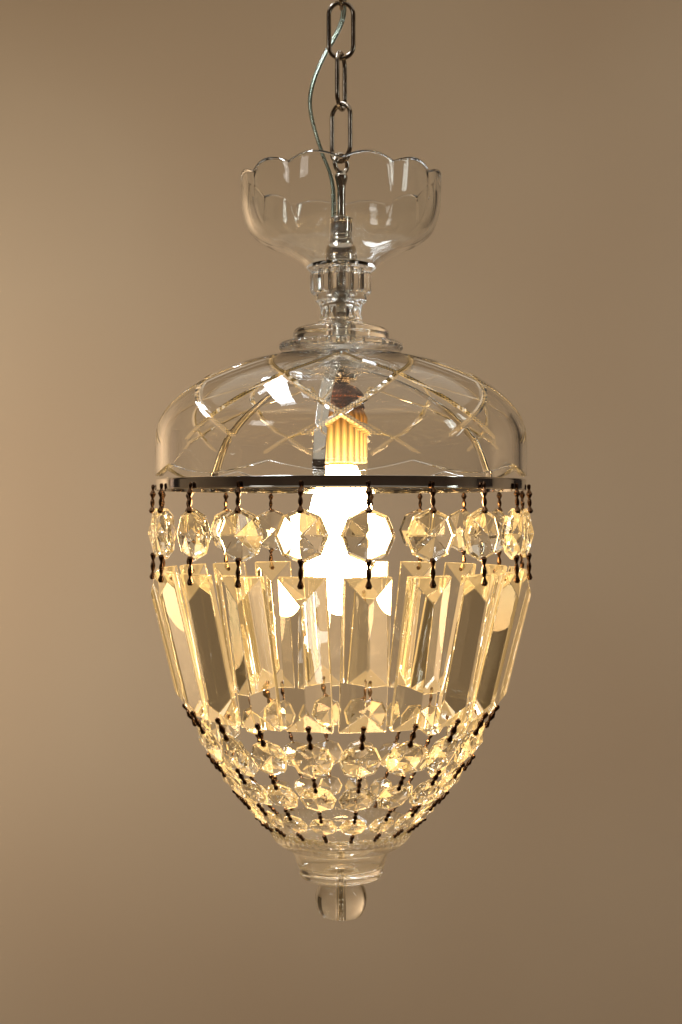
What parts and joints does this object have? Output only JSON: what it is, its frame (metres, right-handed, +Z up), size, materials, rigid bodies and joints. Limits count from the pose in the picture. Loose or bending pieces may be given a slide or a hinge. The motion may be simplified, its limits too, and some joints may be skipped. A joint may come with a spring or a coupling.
{
  "type": "crystal pendant light",
  "caption": "Small crystal bag chandelier: cut-glass bowl and dome, hanging prisms, a basket of cut beads and a ball finial, on a short chain.",
  "frame": {"origin": "middle of the ceiling plate's top face, where it meets the ceiling", "axes": "+Z up out of the ceiling plate; -Y is the front; the light hangs down along -Z"},
  "size_m": [0.2018, 0.2018, 0.5483],
  "materials": {
    "plate_steel": "zinc-plated pressed steel",
    "polished_nickel": "polished nickel plate",
    "white_plastic": "moulded",
    "clear_flex": "clear PVC over tinned twin cores",
    "clear_glass": "clear pressed and cut glass",
    "cut_crystal": "clear cut crystal, bronze pins",
    "pin_bronze": "dark bronze",
    "dark_copper": "dark lacquered copper",
    "cream_plastic": "translucent ribbed moulding",
    "bulb_cap_metal": "rolled screw cap",
    "lit_bulb_glass": "frosted, lit"
  },
  "bodies": {
    "ceiling_fitting": {"ceiling_plate": "plate_steel", "ceiling_canopy": "polished_nickel", "canopy_loop": "polished_nickel", "cable_bush": "white_plastic", "terminal_block": "white_plastic", "power_cable": "clear_flex"},
    "chain_1": {"chain_link_1": "polished_nickel"},
    "chain_2": {"chain_link_2": "polished_nickel"},
    "chain_3": {"chain_link_3": "polished_nickel"},
    "chain_4": {"chain_link_4": "polished_nickel"},
    "lamp": {"stem_loop": "polished_nickel", "stem_coupling": "polished_nickel", "bowl_nut": "polished_nickel", "stem_tube": "polished_nickel", "top_bowl": "clear_glass", "glass_spindle": "clear_glass", "cut_glass_dome": "clear_glass", "frame_hub": "polished_nickel", "frame_strap_1": "polished_nickel", "frame_strap_2": "polished_nickel", "frame_strap_3": "polished_nickel", "crystal_ring": "polished_nickel", "hub_locknut": "polished_nickel", "lampholder_cap": "dark_copper", "lampholder_core": "cream_plastic", "lampholder_skirt": "cream_plastic"},
    "bulb": {"bulb_cap": "bulb_cap_metal", "bulb_glass": "lit_bulb_glass"},
    "strand_01": {"crystal_strand_01": "cut_crystal"},
    "strand_02": {"crystal_strand_02": "cut_crystal"},
    "strand_03": {"crystal_strand_03": "cut_crystal"},
    "strand_04": {"crystal_strand_04": "cut_crystal"},
    "strand_05": {"crystal_strand_05": "cut_crystal"},
    "strand_06": {"crystal_strand_06": "cut_crystal"},
    "strand_07": {"crystal_strand_07": "cut_crystal"},
    "strand_08": {"crystal_strand_08": "cut_crystal"},
    "strand_09": {"crystal_strand_09": "cut_crystal"},
    "strand_10": {"crystal_strand_10": "cut_crystal"},
    "strand_11": {"crystal_strand_11": "cut_crystal"},
    "strand_12": {"crystal_strand_12": "cut_crystal"},
    "strand_13": {"crystal_strand_13": "cut_crystal"},
    "strand_14": {"crystal_strand_14": "cut_crystal"},
    "strand_15": {"crystal_strand_15": "cut_crystal"},
    "strand_16": {"crystal_strand_16": "cut_crystal"},
    "strand_17": {"crystal_strand_17": "cut_crystal"},
    "strand_18": {"crystal_strand_18": "cut_crystal"},
    "strand_19": {"crystal_strand_19": "cut_crystal"},
    "strand_20": {"crystal_strand_20": "cut_crystal"},
    "basket": {"basket_row_1": "cut_crystal", "basket_row_2": "cut_crystal", "basket_row_3": "cut_crystal", "bottom_dish": "clear_glass", "finial_ball": "clear_glass", "finial_bolt": "polished_nickel", "finial_nut": "pin_bronze"}
  },
  "joints": [
    {"name": "chain_1_swing", "type": "hinge", "parent": "ceiling_fitting", "child": "chain_1", "pos_m": [0, 0, -0.037], "axis": [1, 0, 0], "range_deg": [-18, 18], "deforming": ["power_cable"]},
    {"name": "chain_2_swing", "type": "hinge", "parent": "chain_1", "child": "chain_2", "pos_m": [0, 0, -0.06375], "axis": [0, 1, 0], "range_deg": [-18, 18], "deforming": ["power_cable"]},
    {"name": "chain_3_swing", "type": "hinge", "parent": "chain_2", "child": "chain_3", "pos_m": [0, 0, -0.09075], "axis": [1, 0, 0], "range_deg": [-18, 18], "deforming": ["power_cable"]},
    {"name": "chain_4_swing", "type": "hinge", "parent": "chain_3", "child": "chain_4", "pos_m": [0, 0, -0.11775], "axis": [0.309, 0.9511, 0], "range_deg": [-18, 18], "deforming": ["power_cable"]},
    {"name": "lamp_swing", "type": "hinge", "parent": "chain_4", "child": "lamp", "pos_m": [0, 0, -0.14475], "axis": [0.7431, -0.6691, 0], "range_deg": [-18, 18], "deforming": ["power_cable"]},
    {"name": "bulb_unscrew", "type": "slide", "parent": "lamp", "child": "bulb", "axis": [0, 0, -1], "range_m": [0, 0.022]},
    {"name": "basket_twist", "type": "hinge", "parent": "lamp", "child": "basket", "pos_m": [0, 0, -0.4355], "axis": [0, 0, 1], "range_deg": [-10, 10]},
    {"name": "strand_01_lean", "type": "hinge", "parent": "lamp", "child": "strand_01", "pos_m": [0.01239, -0.09671, -0.3181], "axis": [0.1271, -0.9919, 0], "range_deg": [-7, 7]},
    {"name": "strand_02_lean", "type": "hinge", "parent": "lamp", "child": "strand_02", "pos_m": [0.04167, -0.08815, -0.3181], "axis": [0.4274, -0.9041, 0], "range_deg": [-7, 7]},
    {"name": "strand_03_lean", "type": "hinge", "parent": "lamp", "child": "strand_03", "pos_m": [0.06687, -0.07096, -0.3181], "axis": [0.6858, -0.7278, 0], "range_deg": [-7, 7]},
    {"name": "strand_04_lean", "type": "hinge", "parent": "lamp", "child": "strand_04", "pos_m": [0.08552, -0.04682, -0.3181], "axis": [0.8771, -0.4802, 0], "range_deg": [-7, 7]},
    {"name": "strand_05_lean", "type": "hinge", "parent": "lamp", "child": "strand_05", "pos_m": [0.0958, -0.0181, -0.3181], "axis": [0.9826, -0.1857, 0], "range_deg": [-7, 7]},
    {"name": "strand_06_lean", "type": "hinge", "parent": "lamp", "child": "strand_06", "pos_m": [0.09671, 0.01239, -0.3181], "axis": [0.9919, 0.1271, 0], "range_deg": [-7, 7]},
    {"name": "strand_07_lean", "type": "hinge", "parent": "lamp", "child": "strand_07", "pos_m": [0.08815, 0.04167, -0.3181], "axis": [0.9041, 0.4274, 0], "range_deg": [-7, 7]},
    {"name": "strand_08_lean", "type": "hinge", "parent": "lamp", "child": "strand_08", "pos_m": [0.07096, 0.06687, -0.3181], "axis": [0.7278, 0.6858, 0], "range_deg": [-7, 7]},
    {"name": "strand_09_lean", "type": "hinge", "parent": "lamp", "child": "strand_09", "pos_m": [0.04682, 0.08552, -0.3181], "axis": [0.4802, 0.8771, 0], "range_deg": [-7, 7]},
    {"name": "strand_10_lean", "type": "hinge", "parent": "lamp", "child": "strand_10", "pos_m": [0.0181, 0.0958, -0.3181], "axis": [0.1857, 0.9826, 0], "range_deg": [-7, 7]},
    {"name": "strand_11_lean", "type": "hinge", "parent": "lamp", "child": "strand_11", "pos_m": [-0.01239, 0.09671, -0.3181], "axis": [-0.1271, 0.9919, 0], "range_deg": [-7, 7]},
    {"name": "strand_12_lean", "type": "hinge", "parent": "lamp", "child": "strand_12", "pos_m": [-0.04167, 0.08815, -0.3181], "axis": [-0.4274, 0.9041, 0], "range_deg": [-7, 7]},
    {"name": "strand_13_lean", "type": "hinge", "parent": "lamp", "child": "strand_13", "pos_m": [-0.06687, 0.07096, -0.3181], "axis": [-0.6858, 0.7278, 0], "range_deg": [-7, 7]},
    {"name": "strand_14_lean", "type": "hinge", "parent": "lamp", "child": "strand_14", "pos_m": [-0.08552, 0.04682, -0.3181], "axis": [-0.8771, 0.4802, 0], "range_deg": [-7, 7]},
    {"name": "strand_15_lean", "type": "hinge", "parent": "lamp", "child": "strand_15", "pos_m": [-0.0958, 0.0181, -0.3181], "axis": [-0.9826, 0.1857, 0], "range_deg": [-7, 7]},
    {"name": "strand_16_lean", "type": "hinge", "parent": "lamp", "child": "strand_16", "pos_m": [-0.09671, -0.01239, -0.3181], "axis": [-0.9919, -0.1271, 0], "range_deg": [-7, 7]},
    {"name": "strand_17_lean", "type": "hinge", "parent": "lamp", "child": "strand_17", "pos_m": [-0.08815, -0.04167, -0.3181], "axis": [-0.9041, -0.4274, 0], "range_deg": [-7, 7]},
    {"name": "strand_18_lean", "type": "hinge", "parent": "lamp", "child": "strand_18", "pos_m": [-0.07096, -0.06687, -0.3181], "axis": [-0.7278, -0.6858, 0], "range_deg": [-7, 7]},
    {"name": "strand_19_lean", "type": "hinge", "parent": "lamp", "child": "strand_19", "pos_m": [-0.04682, -0.08552, -0.3181], "axis": [-0.4802, -0.8771, 0], "range_deg": [-7, 7]},
    {"name": "strand_20_lean", "type": "hinge", "parent": "lamp", "child": "strand_20", "pos_m": [-0.0181, -0.0958, -0.3181], "axis": [-0.1857, -0.9826, 0], "range_deg": [-7, 7]}
  ],
  "couplings": [
    {"joint": "strand_01_lean", "follows": "basket_twist", "ratio": 0.6649},
    {"joint": "strand_02_lean", "follows": "basket_twist", "ratio": 0.6649},
    {"joint": "strand_03_lean", "follows": "basket_twist", "ratio": 0.6649},
    {"joint": "strand_04_lean", "follows": "basket_twist", "ratio": 0.6649},
    {"joint": "strand_05_lean", "follows": "basket_twist", "ratio": 0.6649},
    {"joint": "strand_06_lean", "follows": "basket_twist", "ratio": 0.6649},
    {"joint": "strand_07_lean", "follows": "basket_twist", "ratio": 0.6649},
    {"joint": "strand_08_lean", "follows": "basket_twist", "ratio": 0.6649},
    {"joint": "strand_09_lean", "follows": "basket_twist", "ratio": 0.6649},
    {"joint": "strand_10_lean", "follows": "basket_twist", "ratio": 0.6649},
    {"joint": "strand_11_lean", "follows": "basket_twist", "ratio": 0.6649},
    {"joint": "strand_12_lean", "follows": "basket_twist", "ratio": 0.6649},
    {"joint": "strand_13_lean", "follows": "basket_twist", "ratio": 0.6649},
    {"joint": "strand_14_lean", "follows": "basket_twist", "ratio": 0.6649},
    {"joint": "strand_15_lean", "follows": "basket_twist", "ratio": 0.6649},
    {"joint": "strand_16_lean", "follows": "basket_twist", "ratio": 0.6649},
    {"joint": "strand_17_lean", "follows": "basket_twist", "ratio": 0.6649},
    {"joint": "strand_18_lean", "follows": "basket_twist", "ratio": 0.6649},
    {"joint": "strand_19_lean", "follows": "basket_twist", "ratio": 0.6649},
    {"joint": "strand_20_lean", "follows": "basket_twist", "ratio": 0.6649}
  ]
}
